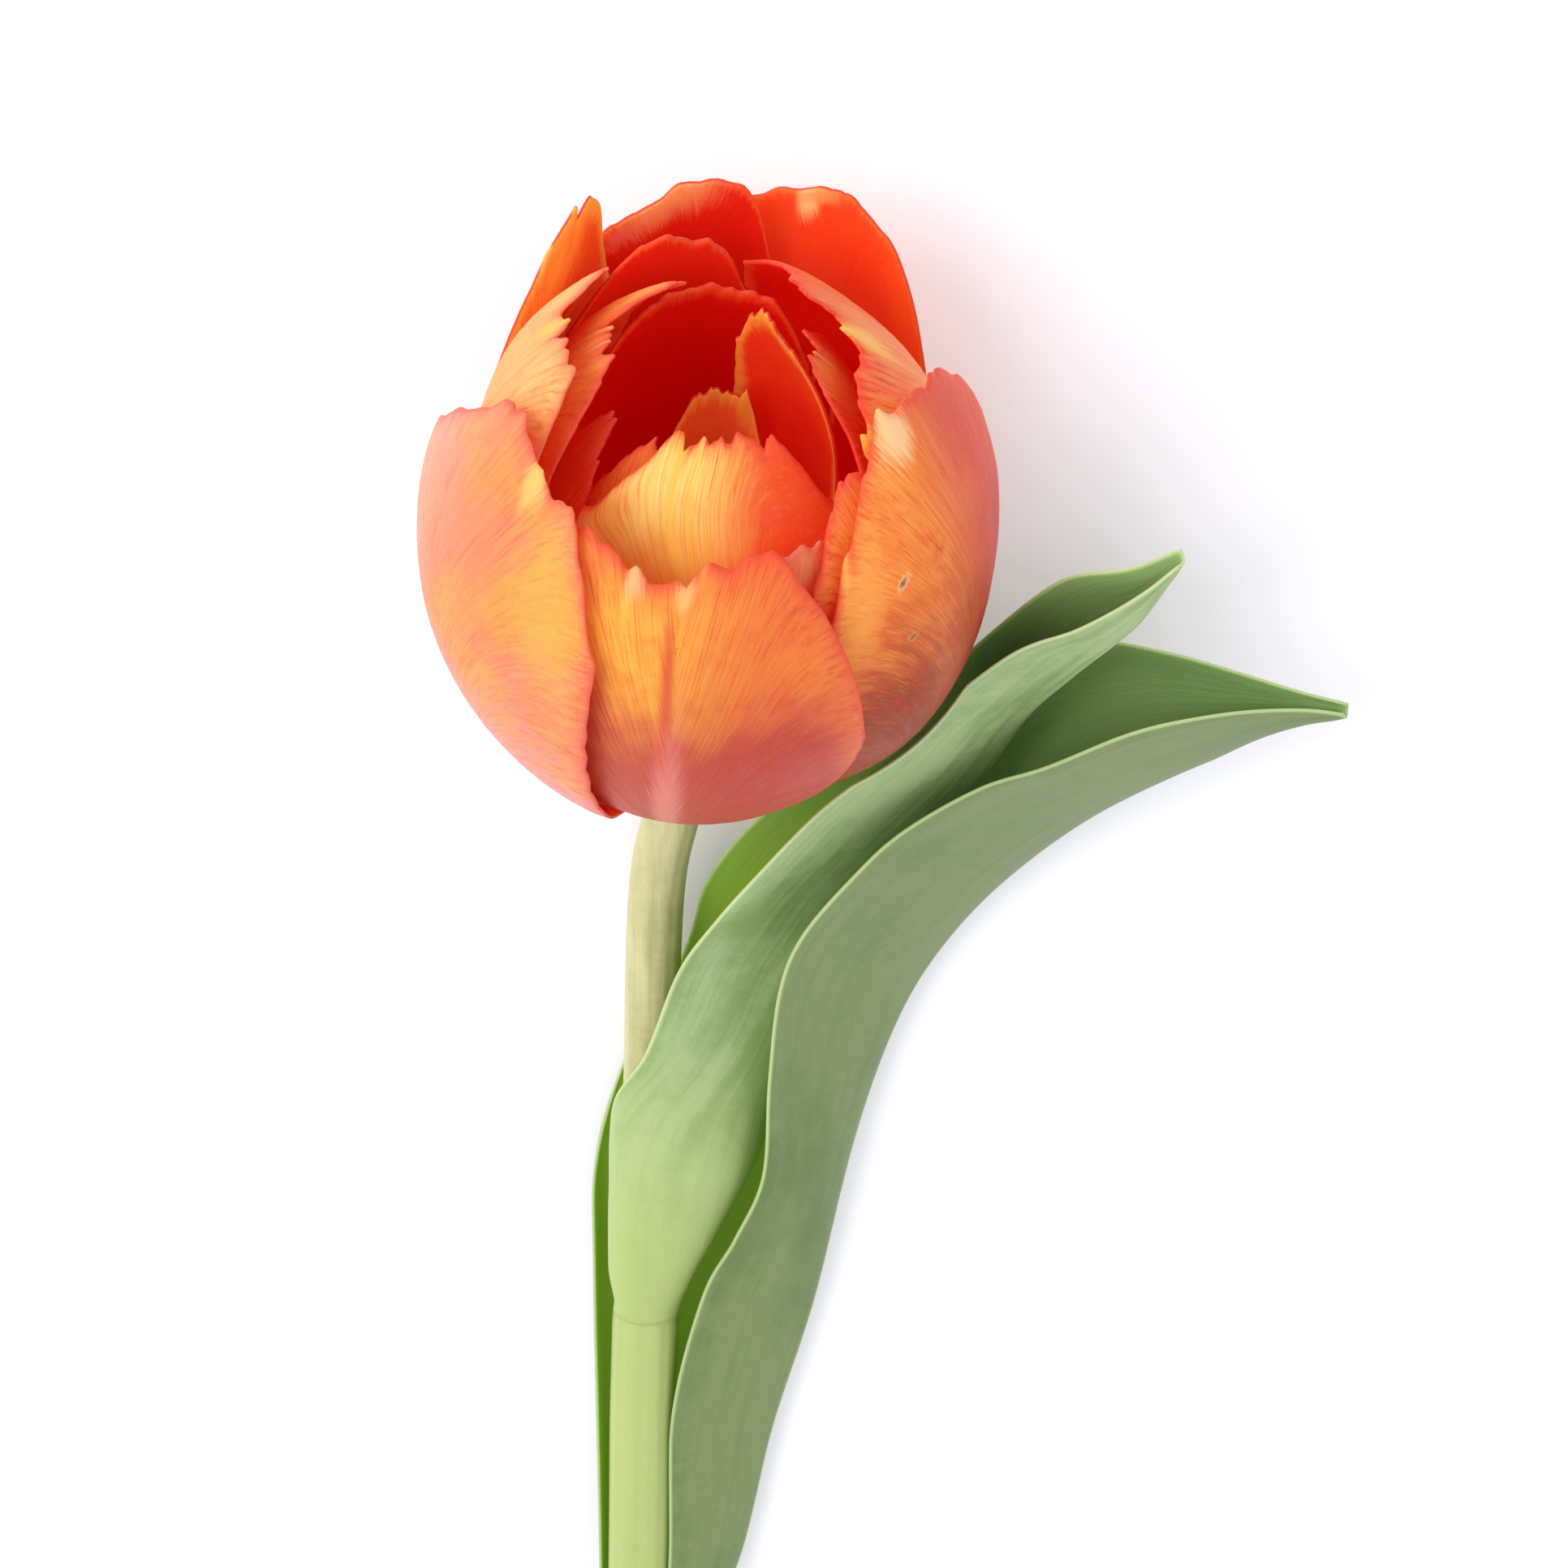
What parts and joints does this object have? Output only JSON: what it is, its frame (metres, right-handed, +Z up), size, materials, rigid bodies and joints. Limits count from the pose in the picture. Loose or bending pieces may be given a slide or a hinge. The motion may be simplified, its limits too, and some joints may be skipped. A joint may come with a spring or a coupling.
{
  "type": "parrot tulip",
  "caption": "Cut parrot tulip lying down: a full globe of ragged orange petals on a green stem with folded leaves.",
  "frame": {"origin": "centre of the bounding box seen from above, at the height of the surface it lies on", "axes": "+Y along the flower from the cut end to the head, +Z up from the surface, +X to the head's right seen from above with the head away"},
  "size_m": [0.1178, 0.366, 0.0698],
  "materials": {
    "stem": "satin, fleshy, faint ridges",
    "leaf": "waxy grey-green bloom with fine parallel veins",
    "petal_outer": "satin, apricot orange with a pink rim and fine streaks",
    "petal_middle": "satin, orange deepening to red",
    "petal_inner": "satin, orange red, dark red inside",
    "petal_core": "satin, deep red with orange margins",
    "pistil": "satin green",
    "stamen": "powdery yellow anthers"
  },
  "bodies": {
    "root": {"stem": "stem", "leaf_lower": "leaf", "leaf_upper": "leaf", "petal_outer_left": "petal_outer", "petal_outer_front": "petal_outer", "petal_outer_right": "petal_outer", "petal_outer_back_right": "petal_outer", "petal_outer_back_left": "petal_outer", "petal_outer_forked": "petal_outer", "petal_middle_front": "petal_middle", "petal_middle_front_right": "petal_middle", "petal_middle_right": "petal_middle", "petal_middle_back": "petal_middle", "petal_middle_left": "petal_middle", "petal_inner_left": "petal_inner", "petal_inner_back": "petal_inner", "petal_inner_right": "petal_inner", "petal_inner_front": "petal_inner", "petal_inner_slip": "petal_inner", "petal_core_left": "petal_core", "petal_core_right": "petal_core", "petal_core_back": "petal_core", "pistil": "pistil", "stamen_1": "stamen", "stamen_2": "stamen", "stamen_3": "stamen", "stamen_4": "stamen", "stamen_5": "stamen", "stamen_6": "stamen"}
  },
  "joints": []
}
